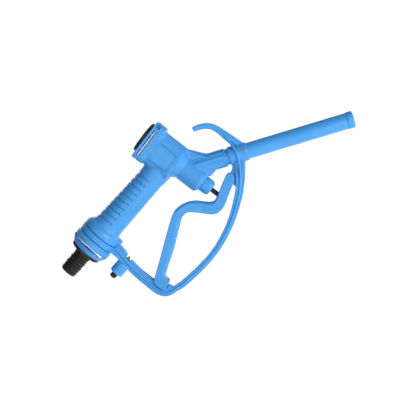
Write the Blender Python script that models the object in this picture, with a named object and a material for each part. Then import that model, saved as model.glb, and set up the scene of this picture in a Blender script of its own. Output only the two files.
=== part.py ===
"""Hand-held dispensing nozzle: sprung poppet valve worked by a pivoted trigger, with a
swivelling hose tail, a hand guard that carries the hang-up hook, and a hold-open latch.

Row frame: metres, +Z up along the valve axis, origin at the middle of the bonnet cap's flat top,
the spout leaves towards +X and the hose towards -X, and Y = 0 is the mid-plane.
Side-view dimensions are laid out in millimetres from the middle of the hose tail's end face,
with x along the row's X and z along its Z. side() turns them into the row frame.
"""
import math

import bmesh
import bpy
from mathutils import Matrix, Vector

for old in list(bpy.data.objects):
    bpy.data.objects.remove(old)

MM = 0.001
GAP = 0.3                      # running and assembly gap between neighbouring pieces, mm

# Where the row origin sits in the side-view layout
VALVE_X = 184.5
BONNET_TOP_Z = 27.0

# Directions in the side plane
GRIP_SLOPE = math.radians(4.0)         # the grip falls this much towards the valve
SPOUT_SLOPE = math.radians(35.3)       # the spout falls this much below horizontal
SPOUT_START_Z = -37.0                  # layout height where the spout axis meets the valve axis

# Hose end
TAIL_BORE_R = 7.0
SPIGOT_R = 18.4
SWIVEL_BORE_R = 18.7
STUB_R = 21.2                  # the body's inlet stub, inside the collar and the guard's ring
BONNET_PLUG_R = 15.6
COLLAR_R = 24.5
CLIP_S = 43.5                  # the inlet clip's place along the grip axis
CLIP_WIRE_R = 1.3
INLET_CLIP_Y = 18.4            # each retaining clip straddles its spigot at this half-width
BONNET_CLIP_Y = 15.6

# Valve
CHAMBER_R = 15.9
SEAT_Z = -23.5
THROAT_R = 8.0
STEM_R = 2.85
STEM_TIP_Z = -93.0
POPPET_R = 11.0

# Spout
SPOUT_R = 9.5
SPOUT_BORE_R = 7.5
SPOUT_END = 204.6              # along the spout axis from the valve axis

# Trigger
PIVOT = (208.0, -84.5)
PIN_R = 2.0
TRIGGER_HALF = 8.0
CHANNEL_HALF = 5.3

# Guard
BAND_HALF = 4.5
RIDGE_HALF = 6.0
RIDGE_W = 2.5
SLEEVE_R = 11.0
SCREW = (245.0, -76.0)

# Latch: its axis runs parallel to the grip through this point
LATCH_MID = (41.0, -46.8)
LATCH_PIN_R = 1.5

BLUE = (0.055, 0.28, 0.75)
BLACK = (0.012, 0.012, 0.013)
STEEL = (0.62, 0.62, 0.60)
WHITE = (0.78, 0.78, 0.75)


# ---------------------------------------------------------------- frames
def side(x, z, y=0.0):
    """Layout millimetres to row-frame metres."""
    return Vector(((x - VALVE_X) * MM, y * MM, (z - BONNET_TOP_Z) * MM))


class Axis:
    """A line in the side plane: s runs along it, and turned shapes are made around it."""

    def __init__(self, x, z, slope_down, s0=0.0):
        self.along = Vector((math.cos(slope_down), 0.0, -math.sin(slope_down)))
        self.up = Vector((math.sin(slope_down), 0.0, math.cos(slope_down)))
        self.start = side(x, z) - self.along * s0 * MM

    def at(self, s, up=0.0, y=0.0):
        return self.start + (self.along * s + self.up * up + Vector((0.0, y, 0.0))) * MM


GRIP = Axis(0.0, 0.0, GRIP_SLOPE)
SPOUT = Axis(VALVE_X, SPOUT_START_Z, SPOUT_SLOPE)
LATCH = Axis(*LATCH_MID, GRIP_SLOPE, s0=LATCH_MID[0])
VALVE = Axis(VALVE_X, 0.0, math.radians(-90.0))      # s is the layout height


# ---------------------------------------------------------------- shape makers
def as_object(bm, name="shape"):
    bmesh.ops.remove_doubles(bm, verts=bm.verts, dist=1e-6)
    bmesh.ops.recalc_face_normals(bm, faces=bm.faces)
    mesh = bpy.data.meshes.new(name)
    bm.to_mesh(mesh)
    bm.free()
    obj = bpy.data.objects.new(name, mesh)
    bpy.context.scene.collection.objects.link(obj)
    return obj


def turned(axis, profile, steps=32, name="shape"):
    """Turn (s, radius) points around an axis. The first and last points are on the axis
    for a solid piece; a hollow piece's profile is a closed loop clear of the axis."""
    bm = bmesh.new()
    rings = []
    for s, r in profile:
        if r < 1e-6:
            rings.append([bm.verts.new(axis.at(s))])
            continue
        turn = [2.0 * math.pi * i / steps for i in range(steps)]
        rings.append([bm.verts.new(axis.at(s, r * math.cos(a), r * math.sin(a))) for a in turn])
    closed = profile[0][1] > 1e-6
    last = len(rings) if closed else len(rings) - 1
    for k in range(last):
        a, b = rings[k], rings[(k + 1) % len(rings)]
        for i in range(steps):
            j = (i + 1) % steps
            corners = [a[i % len(a)], a[j % len(a)], b[j % len(b)], b[i % len(b)]]
            unique = []
            for v in corners:
                if v not in unique:
                    unique.append(v)
            bm.faces.new(unique)
    return as_object(bm, name)


def rod(axis, s0, s1, r, steps=32):
    return turned(axis, [(s0, 0), (s0, r), (s1, r), (s1, 0)], steps)


def tube(axis, s0, s1, r_in, r_out, steps=32, name="shape"):
    return turned(axis, [(s0, r_in), (s0, r_out), (s1, r_out), (s1, r_in)], steps, name)


def o_ring(axis, s, mid_r, cord_r, name, steps=24):
    loop = [2.0 * math.pi * i / 6 for i in range(6)]
    return turned(axis, [(s + cord_r * math.cos(a), mid_r + cord_r * math.sin(a))
                         for a in loop], steps, name)


def prism(outline, y0, y1, name="shape"):
    """Extrude a closed side-view outline between two widths."""
    bm = bmesh.new()
    near = [bm.verts.new(side(x, z, y0)) for x, z in outline]
    far = [bm.verts.new(side(x, z, y1)) for x, z in outline]
    bm.faces.new(near)
    bm.faces.new(list(reversed(far)))
    for i in range(len(outline)):
        j = (i + 1) % len(outline)
        bm.faces.new([near[j], near[i], far[i], far[j]])
    return as_object(bm, name)


def box(axis, s, up, y):
    """A box along an axis: (start, end) along it, up from it, and across."""
    bm = bmesh.new()
    corner = [bm.verts.new(axis.at(a, b, c)) for a in s for b in up for c in y]
    for face in ((0, 1, 3, 2), (4, 6, 7, 5), (0, 4, 5, 1), (2, 3, 7, 6), (0, 2, 6, 4), (1, 5, 7, 3)):
        bm.faces.new([corner[i] for i in face])
    return as_object(bm)


def rounded_plate(z0, z1, x0, x1, half_y, corner, steps=5, name="shape"):
    """An upright block with rounded vertical corners, in layout millimetres."""
    bm = bmesh.new()
    plan = []
    for cx, cy, start in ((x1 - corner, half_y - corner, 0), (x0 + corner, half_y - corner, 90),
                          (x0 + corner, corner - half_y, 180), (x1 - corner, corner - half_y, 270)):
        for i in range(steps + 1):
            a = math.radians(start + 90.0 * i / steps)
            plan.append((cx + corner * math.cos(a), cy + corner * math.sin(a)))
    low = [bm.verts.new(side(x, z0, y)) for x, y in plan]
    high = [bm.verts.new(side(x, z1, y)) for x, y in plan]
    bm.faces.new(list(reversed(low)))
    bm.faces.new(high)
    for i in range(len(plan)):
        j = (i + 1) % len(plan)
        bm.faces.new([low[i], low[j], high[j], high[i]])
    return as_object(bm, name)


def wire(points, r, steps=8, name="shape"):
    """A round wire through row-frame points, with mitred bends and flat ends."""
    bm = bmesh.new()
    rings = []
    for i, p in enumerate(points):
        before = (p - points[i - 1]).normalized() if i else (points[1] - p).normalized()
        after = (points[i + 1] - p).normalized() if i + 1 < len(points) else before
        along = (before + after).normalized()
        if not rings:
            side_dir = along.orthogonal().normalized()
        side_dir = (side_dir - along * side_dir.dot(along)).normalized()
        up_dir = along.cross(side_dir)
        stretch = 1.0 / max(0.6, along.dot(before))
        bend = (after - before)
        ring = []
        for k in range(steps):
            a = 2.0 * math.pi * k / steps
            off = side_dir * math.cos(a) + up_dir * math.sin(a)
            if bend.length > 1e-6:
                out = bend.normalized()
                off = off + out * off.dot(out) * (stretch - 1.0)
            ring.append(bm.verts.new(p + off * r * MM))
        rings.append(ring)
    for a, b in zip(rings, rings[1:]):
        for k in range(steps):
            bm.faces.new([a[k], a[(k + 1) % steps], b[(k + 1) % steps], b[k]])
    bm.faces.new(list(reversed(rings[0])))
    bm.faces.new(rings[-1])
    return as_object(bm, name)


def coil(axis, s0, s1, mid_r, wire_r, turns, name, per_turn=12, steps=5):
    count = int(turns * per_turn)
    points = []
    for i in range(count + 1):
        a = 2.0 * math.pi * i / per_turn
        s = s0 + wire_r + (s1 - s0 - 2.0 * wire_r) * i / count
        points.append(axis.at(s, mid_r * math.cos(a), mid_r * math.sin(a)))
    return wire(points, wire_r, steps, name)


def ribbon(path, left, right):
    """Side-view outline of a strap: path is (x, z) points, left and right its edge offsets."""
    edge_a, edge_b = [], []
    for i, (x, z) in enumerate(path):
        ax, az = path[max(i - 1, 0)]
        bx, bz = path[min(i + 1, len(path) - 1)]
        length = math.hypot(bx - ax, bz - az)
        nx, nz = -(bz - az) / length, (bx - ax) / length
        edge_a.append((x + nx * left[i], z + nz * left[i]))
        edge_b.append((x - nx * right[i], z - nz * right[i]))
    return edge_a + edge_b[::-1]


def smooth(points, steps=3):
    """Catmull-Rom through points of any dimension."""
    out = []
    for i in range(len(points) - 1):
        p = [points[max(i - 1, 0)], points[i], points[i + 1], points[min(i + 2, len(points) - 1)]]
        for k in range(steps):
            t = k / steps
            out.append(tuple(
                0.5 * (2 * b + (c - a) * t + (2 * a - 5 * b + 4 * c - d) * t * t
                       + (3 * b - a - 3 * c + d) * t ** 3)
                for a, b, c, d in zip(*p)))
    out.append(points[-1])
    return out


def boolean(target, tool, operation):
    mod = target.modifiers.new(operation, "BOOLEAN")
    mod.operation = operation
    mod.solver = "EXACT"
    mod.object = tool
    bpy.context.view_layer.update()
    made = bpy.data.meshes.new_from_object(target.evaluated_get(bpy.context.evaluated_depsgraph_get()))
    bm = bmesh.new()
    bm.from_mesh(made)
    bmesh.ops.triangulate(bm, faces=bm.faces)
    bm.to_mesh(made)
    bm.free()
    target.modifiers.clear()
    target.data = made
    bpy.data.objects.remove(tool)


def join(target, *others):
    for other in others:
        boolean(target, other, "UNION")
    return target


def cut(target, *others):
    for other in others:
        boolean(target, other, "DIFFERENCE")
    return target


def finish(obj, name, colour, roughness, metallic=0.0, origin=None, sharp=35.0):
    """Name the piece, give it its material, put its origin, and tidy its mesh."""
    obj.name = name
    obj.data.name = name
    bm = bmesh.new()
    bm.from_mesh(obj.data)
    bmesh.ops.remove_doubles(bm, verts=bm.verts, dist=2e-5)
    bmesh.ops.dissolve_degenerate(bm, edges=bm.edges, dist=2e-5)
    bmesh.ops.dissolve_limit(bm, angle_limit=0.002, verts=bm.verts, edges=bm.edges)
    bmesh.ops.triangulate(bm, faces=bm.faces)
    bmesh.ops.recalc_face_normals(bm, faces=bm.faces)
    bm.to_mesh(obj.data)
    bm.free()
    if origin is not None:
        obj.data.transform(Matrix.Translation(-origin))
        obj.location = origin
    for poly in obj.data.polygons:
        poly.use_smooth = True
    obj.data.set_sharp_from_angle(angle=math.radians(sharp))
    mat = bpy.data.materials.new(name)
    mat.use_nodes = True
    shader = mat.node_tree.nodes["Principled BSDF"]
    shader.inputs["Base Color"].default_value = (*colour, 1.0)
    shader.inputs["Roughness"].default_value = roughness
    shader.inputs["Metallic"].default_value = metallic
    obj.data.materials.clear()
    obj.data.materials.append(mat)
    return obj


# ---------------------------------------------------------------- retaining clips
def bonnet_clip_wire(r):
    """The bonnet's hairpin clip, or with a larger radius the passage it lies in."""
    leg, z = BONNET_CLIP_Y, 17.7
    return wire([side(205.6, z, -leg), side(162.0, z, -leg), side(160.9, z, 1.1 - leg),
                 side(160.9, z, leg - 1.1), side(162.0, z, leg), side(205.6, z, leg)], r)


def inlet_clip_wire(r):
    """The hose tail's U-shaped clip, or with a larger radius the passage it lies in."""
    leg, bend = INLET_CLIP_Y, 9.4
    half = [(-17.6, -leg)] + [(leg - bend + bend * math.sin(a), bend - leg - bend * math.cos(a))
                              for a in (math.radians(18.0 * i) for i in range(6))]
    line = half + [(up, -y) for up, y in reversed(half)]
    return wire([GRIP.at(CLIP_S, up, y) for up, y in line], r)


# ---------------------------------------------------------------- valve body
def make_valve_body():
    body = turned(GRIP, [
        (46.0, 0), (46.0, STUB_R), (60.9, STUB_R), (60.9, 24.0), (66.5, 23.4), (69.5, 20.8),
        (72.0, 18.8), (76.0, 17.3), (115.0, 16.3), (150.0, 15.7), (162.0, 16.6), (180.0, 17.0),
        (180.0, 0)])
    chamber = rounded_plate(-25.0, 12.0, 159.5, 205.0, 19.0, 10.0)
    flange = rounded_plate(10.0, 23.0, 159.0, 208.5, 19.6, 4.0)
    neck = turned(VALVE, [(-63.0, 0), (-63.0, 10.2), (-59.0, 14.6), (-31.0, 14.6), (-24.0, 19.5),
                          (-24.0, 0)])
    socket = rod(SPOUT, 6.0, 49.5, 10.4)
    gusset = prism([(190, -24), (204.6, -24), (208, -31), (211, -38), (215, -46), (224, -53),
                    (205, -50), (190, -40)], -4.0, 4.0)
    web = prism([(186, -48), (204, -50), (212, -58), (208.5, -64.4), (206.0, -65.6), (197.0, -65.2),
                 (195.2, -62.6), (190, -59)], -7.0, 7.0)
    tab = prism([(65.3, -20.0), (70.0, -20.0), (69.6, -28.0), (69.2, -30.4), (65.3, -30.6)],
                -6.0, 6.0)
    join(body, chamber, flange, neck, socket, gusset, web, tab)
    cut(body,
        rod(GRIP, 40.0, 61.5, SWIVEL_BORE_R),
        rod(GRIP, 61.0, 184.0, 9.0),
        rod(VALVE, SEAT_Z, 24.0, CHAMBER_R),
        rod(VALVE, -32.0, -22.0, THROAT_R),
        rod(VALVE, -50.0, -31.0, 10.0),
        rod(VALVE, -54.0, -49.0, STEM_R + GAP, 20),
        rod(VALVE, -64.0, -53.0, 6.5, 24),
        rod(SPOUT, 0.0, 51.0, 8.5))
    for sign in (-1.0, 1.0):
        near, far = sorted((sign * 14.0, sign * 17.2))
        cut(body, box(VALVE, (16.1, 19.3), (-23.5, 26.0), (near, far)))
        near, far = sorted((sign * 13.9, sign * 23.0))
        cut(body, box(VALVE, (15.5, 20.0), (-14.0, 21.5), (near, far)))
    cut(body, box(VALVE, (15.5, 20.0), (20.0, 27.0), (-13.4, 13.4)), bonnet_clip_wire(CLIP_WIRE_R + GAP))
    return finish(body, "valve_body", BLUE, 0.42)


# ---------------------------------------------------------------- bonnet and valve parts
def make_bonnet():
    cap = turned(VALVE, [
        (BONNET_TOP_Z, 0), (BONNET_TOP_Z, 17.9), (26.6, 18.9), (25.8, 19.25), (23.3, 19.25),
        (23.3, BONNET_PLUG_R), (19.4, BONNET_PLUG_R), (19.4, 14.0), (16.0, 14.0), (16.0, BONNET_PLUG_R),
        (12.6, BONNET_PLUG_R), (12.6, 13.3), (9.8, 13.3), (9.8, BONNET_PLUG_R), (6.5, BONNET_PLUG_R),
        (6.5, 9.5), (20.0, 9.5), (20.0, 0)], 40)
    finish(cap, "bonnet_cap", BLACK, 0.45)
    finish(o_ring(VALVE, 11.2, 14.6, 1.0, "bonnet_oring"), "bonnet_oring", BLACK, 0.6)
    finish(bonnet_clip_wire(CLIP_WIRE_R), "bonnet_clip", STEEL, 0.25, 1.0)


def make_valve_parts():
    lift_axis = side(VALVE_X, SEAT_Z)
    finish(coil(VALVE, -14.7, 19.7, 7.0, 0.9, 6.5, "valve_spring"), "valve_spring", STEEL, 0.3,
           1.0, side(VALVE_X, 0.0))
    poppet = turned(VALVE, [(-20.0, 0), (-20.0, POPPET_R), (-16.0, POPPET_R), (-15.0, 10.0),
                            (-15.0, 5.6), (-8.6, 5.6), (-8.0, 5.0), (-8.0, 0)])
    cut(poppet, rod(VALVE, -21.0, -11.0, STEM_R + GAP, 20))
    finish(poppet, "poppet", WHITE, 0.5, 0.0, lift_axis)
    finish(tube(VALVE, SEAT_Z + GAP, -20.3, STEM_R + GAP, 10.5), "poppet_seal", BLACK, 0.6, 0.0,
           lift_axis)
    retainer = cut(rod(VALVE, -27.0, -23.5, 6.4, 6), rod(VALVE, -28.0, -22.0, STEM_R + GAP, 20))
    finish(retainer, "poppet_retainer", STEEL, 0.3, 1.0, lift_axis)
    finish(turned(VALVE, [(-11.3, 0), (-11.3, 2.3), (-11.9, STEM_R), (-91.6, STEM_R),
                          (-92.6, 1.9), (STEM_TIP_Z, 0)], 20), "valve_stem", BLACK, 0.35, 0.0,
           lift_axis)


def make_gland():
    finish(o_ring(VALVE, -54.9, 4.65, 1.35, "stem_oring_upper", 20), "stem_oring_upper", BLACK, 0.6)
    finish(tube(VALVE, -57.6, -56.6, STEM_R + GAP, 6.2, 24), "gland_washer", WHITE, 0.5)
    finish(o_ring(VALVE, -59.3, 4.65, 1.35, "stem_oring_lower", 20), "stem_oring_lower", BLACK, 0.6)
    finish(turned(VALVE, [(-61.0, STEM_R + GAP), (-61.0, 6.2), (-63.3, 6.2), (-63.3, 9.6),
                          (-73.0, 9.6), (-74.6, 8.9), (-75.3, 7.4), (-75.3, STEM_R + GAP)], 24),
           "gland_nut", BLUE, 0.42)


# ---------------------------------------------------------------- hose end
def make_hose_end():
    collar = turned(GRIP, [
        (35.3, SWIVEL_BORE_R), (35.3, 19.8), (37.2, 21.4), (42.0, COLLAR_R), (48.6, COLLAR_R),
        (50.0, 23.2), (52.2, 23.2), (52.2, STUB_R + GAP), (45.7, STUB_R + GAP),
        (45.7, SWIVEL_BORE_R)], 40)
    cut(collar, inlet_clip_wire(CLIP_WIRE_R + GAP))
    for sign in (-1.0, 1.0):
        near, far = sorted((sign * 17.2, sign * 26.0))
        cut(collar, box(GRIP, (CLIP_S - 1.5, CLIP_S + 1.7), (-19.0, 18.4), (near, far)))
    cut(collar, box(GRIP, (CLIP_S - 1.5, CLIP_S + 1.5), (15.0, 26.0), (-12.5, 12.5)))
    finish(collar, "inlet_collar", BLUE, 0.42)
    finish(inlet_clip_wire(CLIP_WIRE_R), "inlet_clip", STEEL, 0.25, 1.0)

    barbs = []
    for start, end in ((0.0, 12.0), (12.0, 19.5), (19.5, 27.0)):
        barbs += [(start, 9.5), (end - 0.8, 10.6), (end, 10.6)]
    tail = turned(GRIP, [(0.0, TAIL_BORE_R)] + barbs + [
        (27.0, 9.3), (31.4, 9.3), (31.4, 18.7), (32.4, 19.5), (35.0, 19.5), (35.0, SPIGOT_R),
        (41.9, SPIGOT_R), (41.9, 16.8), (45.1, 16.8), (45.1, SPIGOT_R), (46.0, SPIGOT_R),
        (46.0, 16.1), (48.8, 16.1), (48.8, SPIGOT_R), (52.0, SPIGOT_R), (52.0, 16.1),
        (54.8, 16.1), (54.8, SPIGOT_R), (60.6, SPIGOT_R), (60.6, TAIL_BORE_R)], 28)
    finish(tail, "hose_tail", BLACK, 0.4, 0.0, GRIP.at(0.0))
    for name, s in (("hose_tail_oring_front", 47.4), ("hose_tail_oring_rear", 53.4)):
        finish(o_ring(GRIP, s, 17.35, 0.95, name), name, BLACK, 0.6, 0.0, GRIP.at(0.0))


# ---------------------------------------------------------------- spout
def make_spout():
    finish(turned(SPOUT, [
        (24.0, 6.6), (24.0, 8.2), (30.0, 8.2), (30.0, 7.3), (32.0, 7.3), (32.0, 8.2),
        (49.8, 8.2), (49.8, SPOUT_R), (196.5, SPOUT_R), (196.5, 8.5), (202.6, 8.5),
        (202.6, SPOUT_BORE_R), (52.0, SPOUT_BORE_R), (49.0, 6.6)], 32), "spout_tube", BLUE, 0.4)
    finish(o_ring(SPOUT, 31.0, 7.9, 0.42, "spout_oring"), "spout_oring", BLACK, 0.6)
    finish(turned(SPOUT, [
        (196.8, 8.8), (196.8, 9.7), (197.8, 10.0), (203.6, 10.0), (SPOUT_END, 9.4),
        (SPOUT_END, 7.2), (202.9, 7.2), (202.9, 8.8)], 32), "spout_tip", BLUE, 0.4)


# ---------------------------------------------------------------- guard
# Centre line of the guard's strap and its half thickness in the side plane
GUARD_PATH = [
    (57.6, -24.0, 7.2), (57.4, -31.0, 6.9), (56.8, -37.0, 6.5), (55.2, -44.0, 5.7),
    (53.7, -51.0, 5.3), (51.9, -60.0, 5.6), (50.9, -70.0, 5.6), (50.6, -80.0, 5.8),
    (50.6, -92.0, 6.0), (51.0, -101.0, 5.9), (53.4, -108.2, 4.9), (58.4, -112.4, 4.0),
    (65.0, -115.0, 3.6), (75.0, -118.4, 3.8), (100.0, -122.5, 3.8), (125.0, -124.2, 3.7),
    (150.0, -121.6, 3.9), (175.0, -115.0, 4.2), (200.0, -104.3, 4.8), (209.0, -98.8, 5.1),
    (217.0, -93.4, 5.6), (225.0, -86.6, 6.2), (232.0, -81.0, 6.6), (239.0, -77.0, 6.6)]
HOOK_OUTLINE = [
    (237.5, -72.0), (239.3, -62.0), (240.0, -52.0), (240.8, -41.0), (240.6, -35.0), (239.4, -30.0),
    (236.2, -25.6), (231.5, -21.6), (226.6, -18.4), (223.9, -15.6), (224.2, -12.9), (226.6, -11.6),
    (231.0, -12.9), (236.5, -16.4), (241.8, -21.2), (245.8, -27.4), (248.0, -34.5), (249.0, -42.0),
    (250.0, -55.0), (250.9, -68.0), (247.6, -76.0)]
# The strap's ridge carries on over the sleeve into the hook, as (x, z, half width)
BRACE = [(212.0, -97.0, 4.6), (219.0, -91.6, 5.6), (226.0, -85.4, 8.2), (232.0, -79.0, 10.6),
         (236.6, -72.0, 11.1), (239.6, -65.5, 9.4), (241.6, -59.0, 6.0), (242.4, -50.0, 4.2)]
BRACE_R = 1.4
EAR = [(203.6, -84.5), (204.8, -81.3), (208.0, -80.0), (213.0, -80.6), (218.0, -80.0),
       (223.0, -77.0), (232.0, -76.0), (236.0, -84.0), (224.0, -92.0), (214.0, -96.8),
       (206.4, -100.0), (204.8, -94.0), (204.8, -87.7)]
EAR_HALF = 2.6


def make_guard():
    path = smooth(GUARD_PATH, 2)
    line = [(x, z) for x, z, _ in path]
    half = [w for _, _, w in path]
    guard = prism(ribbon(line, half, half), -BAND_HALF, BAND_HALF)
    ridge = [RIDGE_W / 2.0] * len(line)
    ring = rod(GRIP, 52.7, 60.6, 24.0, 36)
    sleeve = turned(SPOUT, [(53.0, 0), (53.0, SLEEVE_R), (74.6, SLEEVE_R), (76.0, 10.4), (76.0, 0)], 28)
    boss = turned(LATCH, [(34.2, 0), (34.2, 6.9), (35.6, 8.25), (50.0, 8.25), (50.0, 0)], 24)
    join(guard,
         prism(ribbon(line[4:-3], ridge[4:-3], ridge[4:-3]), -RIDGE_HALF, RIDGE_HALF),
         ring,
         sleeve,
         prism(HOOK_OUTLINE, -BAND_HALF - 0.1, BAND_HALF + 0.1),
         prism([(49.5, -105.2), (62.0, -105.2), (63.5, -107.0), (63.5, -115.6), (51.0, -111.0)],
               -BAND_HALF - 0.2, BAND_HALF + 0.2),
         boss)
    join(guard, prism(EAR, -EAR_HALF, EAR_HALF),
         cross_rod(*PIVOT, -CHANNEL_HALF + GAP, CHANNEL_HALF - GAP, 4.3))
    for sign in (-1.0, 1.0):
        join(guard, wire([side(x, z, sign * y) for x, z, y in BRACE], BRACE_R))
    cut(guard,
        rod(GRIP, 50.0, 63.0, STUB_R + GAP, 36),
        rod(GRIP, 25.0, 52.55, COLLAR_R + 0.4, 36),
        rod(GRIP, 60.75, 76.0, 24.4, 36),
        rod(SPOUT, 50.0, 82.0, SPOUT_R + GAP, 32),
        rod(LATCH, 33.0, 46.0, 4.3, 24),
        rod(LATCH, 44.0, 62.0, LATCH_PIN_R + GAP, 16),
        box(LATCH, (56.5, 66.0), (-3.6, 3.4), (-9.0, 9.0)),
        cross_rod(*PIVOT, -9.0, 9.0, PIN_R + GAP * 0.5),
        cross_rod(*SCREW, -13.0, -9.0, 1.6))
    return finish(guard, "guard", BLUE, 0.42)


def cross_rod(x, z, y0, y1, r, steps=20):
    """A rod square to the side plane."""
    outline = [(x + r * math.cos(2.0 * math.pi * i / steps), z + r * math.sin(2.0 * math.pi * i / steps))
               for i in range(steps)]
    return prism(outline, y0, y1)


def make_fasteners():
    finish(cross_rod(*SCREW, -10.9, -SPOUT_R + 0.1, 1.3), "guard_screw", STEEL, 0.3, 1.0)
    finish(cross_rod(*PIVOT, -7.8, 7.8, PIN_R), "trigger_pin", BLUE, 0.42)


# ---------------------------------------------------------------- trigger
TRIGGER_SIDE = [
    (214.0, -84.2), (213.0, -80.4), (209.6, -78.5), (200.0, -80.7), (190.0, -83.5), (184.0, -85.0),
    (177.0, -86.3), (173.0, -84.8), (169.0, -80.0), (163.0, -70.0), (155.5, -62.5), (147.0, -58.3),
    (140.0, -56.6), (134.0, -57.0), (125.0, -60.0), (100.0, -70.0), (80.0, -78.5), (65.0, -84.5),
    (57.0, -88.0), (54.2, -92.0), (53.5, -97.0), (54.0, -103.0), (56.0, -104.9), (63.0, -104.6),
    (67.3, -103.6), (67.6, -100.0), (68.0, -96.0), (71.0, -94.6), (80.4, -91.0), (100.4, -84.0),
    (125.4, -73.0), (135.4, -69.0), (141.2, -67.0), (145.2, -67.4), (149.2, -70.6), (153.8, -80.4),
    (160.0, -91.0), (165.0, -96.8), (172.0, -99.3), (180.0, -99.0), (190.0, -96.0), (200.0, -93.0),
    (206.6, -91.2), (212.0, -88.6)]
TRIGGER_CHANNEL = [
    (40.0, -115.0), (60.0, -115.0), (59.8, -104.5), (61.8, -101.8), (64.8, -101.2), (65.1, -96.0),
    (67.5, -92.4), (80.0, -87.3), (100.0, -80.3), (125.0, -69.3), (135.0, -65.3), (141.0, -63.5),
    (147.0, -63.6), (152.0, -69.0), (156.6, -79.0), (162.4, -89.8), (167.0, -94.8), (172.0, -96.7),
    (179.8, -96.4), (190.0, -93.4), (199.0, -90.6), (199.0, -105.0), (225.0, -105.0),
    (225.0, -70.0), (190.0, -72.0), (168.0, -60.0), (150.0, -48.0), (110.0, -52.0), (40.0, -80.0)]
LATCH_WALL = [(58.4, -88.6), (61.1, -88.6), (62.2, -103.5), (59.8, -104.4), (59.0, -98.0)]
LATCH_HOLE = (59.6, -94.75)    # where the latch pin meets the cross wall with the trigger pulled
LATCHED = math.radians(18.0)


def make_trigger():
    trigger = prism(TRIGGER_SIDE, -TRIGGER_HALF, TRIGGER_HALF)
    cut(trigger, prism(TRIGGER_CHANNEL, -CHANNEL_HALF, CHANNEL_HALF))
    across = CHANNEL_HALF + 0.3
    join(trigger,
         prism([(178.5, -98.0), (190.5, -95.0), (190.5, STEM_TIP_Z - GAP), (178.5, STEM_TIP_Z - GAP)],
               -across, across),
         prism(LATCH_WALL, -across, across))
    hole = Axis(*LATCH_HOLE, GRIP_SLOPE - LATCHED)
    cut(trigger, rod(hole, -4.0, 4.0, LATCH_PIN_R + 0.8, 16),
        cross_rod(*PIVOT, -9.0, 9.0, PIN_R + GAP))
    return finish(trigger, "trigger", BLUE, 0.42, 0.0, side(*PIVOT))


# ---------------------------------------------------------------- hold-open latch
def make_latch():
    origin = LATCH.at(34.0)
    finish(turned(LATCH, [
        (27.8, 0), (27.8, 2.6), (28.5, 3.6), (29.8, 4.0), (37.0, 4.0), (37.0, 1.8),
        (31.0, 1.8), (31.0, 0)], 24), "latch_button", BLACK, 0.45, 0.0, origin)
    finish(turned(LATCH, [
        (31.3, 0), (31.3, LATCH_PIN_R), (56.7, LATCH_PIN_R), (56.7, 1.0), (57.7, 1.0),
        (57.7, LATCH_PIN_R), (59.7, LATCH_PIN_R), (60.2, 1.0), (60.2, 0)], 16),
        "latch_pin", STEEL, 0.3, 1.0, origin)
    finish(tube(LATCH, 56.9, 57.5, 1.2, 2.7, 16), "latch_clip", STEEL, 0.3, 1.0, origin)
    finish(coil(LATCH, 37.2, 45.7, 2.9, 0.35, 5.0, "latch_spring", 12, 5), "latch_spring", STEEL,
           0.3, 1.0, LATCH.at(45.7))


make_valve_body()
make_bonnet()
make_valve_parts()
make_gland()
make_hose_end()
make_spout()
make_guard()
make_fasteners()
make_trigger()
make_latch()
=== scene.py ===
"""Looks for the dispensing nozzle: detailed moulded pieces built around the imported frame."""
import math

import bmesh
import bpy
from mathutils import Matrix, Vector


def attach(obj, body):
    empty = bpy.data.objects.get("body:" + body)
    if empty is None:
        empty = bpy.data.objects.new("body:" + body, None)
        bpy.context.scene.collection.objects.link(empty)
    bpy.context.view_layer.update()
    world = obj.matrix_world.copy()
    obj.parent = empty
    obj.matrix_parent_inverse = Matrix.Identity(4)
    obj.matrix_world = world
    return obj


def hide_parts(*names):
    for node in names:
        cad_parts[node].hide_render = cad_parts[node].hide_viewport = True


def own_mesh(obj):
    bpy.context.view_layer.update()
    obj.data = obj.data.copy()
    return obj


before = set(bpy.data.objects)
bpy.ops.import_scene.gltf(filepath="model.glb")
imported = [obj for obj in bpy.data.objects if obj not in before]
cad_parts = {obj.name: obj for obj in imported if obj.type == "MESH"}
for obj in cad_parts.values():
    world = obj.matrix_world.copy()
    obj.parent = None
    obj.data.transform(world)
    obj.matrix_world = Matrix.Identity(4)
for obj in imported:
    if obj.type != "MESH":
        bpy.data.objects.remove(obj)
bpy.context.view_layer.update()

# Lengths are millimetres, apart from the floor's, the lights' and the view's, which are metres.
# The side view (x, z) has its origin at the centre of the hose tail's end.
MM = 0.001
VALVE_X = 184.5                # the valve's upright axis
BONNET_TOP_Z = 27.0
GAP = 0.3                      # radial clearance of the collar, the ring and the swivel
STUB_R = 21.2                  # the body's rear stub, inside the collar and the guard's ring
RING_R = 24.0                  # outside of the guard's ring and the body's flange
SPIGOT_R = 18.4                # the hose tail's inner end
SWIVEL_BORE_R = SPIGOT_R + GAP
CLIP_S = 43.5                  # the inlet clip's place along the grip's axis
GRIP_REAR = (77.0, 17.3)       # the tapered grip's two ends, as (along the axis, radius)
GRIP_FRONT = (150.0, 15.7)
GRIP_SLOPE = math.radians(4.0)
SPOUT_SLOPE = math.radians(35.3)
TRIGGER_PULL = math.radians(18.0)
PIVOT = (208.0, -84.5)
SCREW = (245.0, -76.0)


# ---------------------------------------------------------------- layout
def side(x, z, y=0.0):
    """Side-view layout millimetres to the row frame."""
    return Vector(((x - VALVE_X) * MM, y * MM, (z - BONNET_TOP_Z) * MM))


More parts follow.
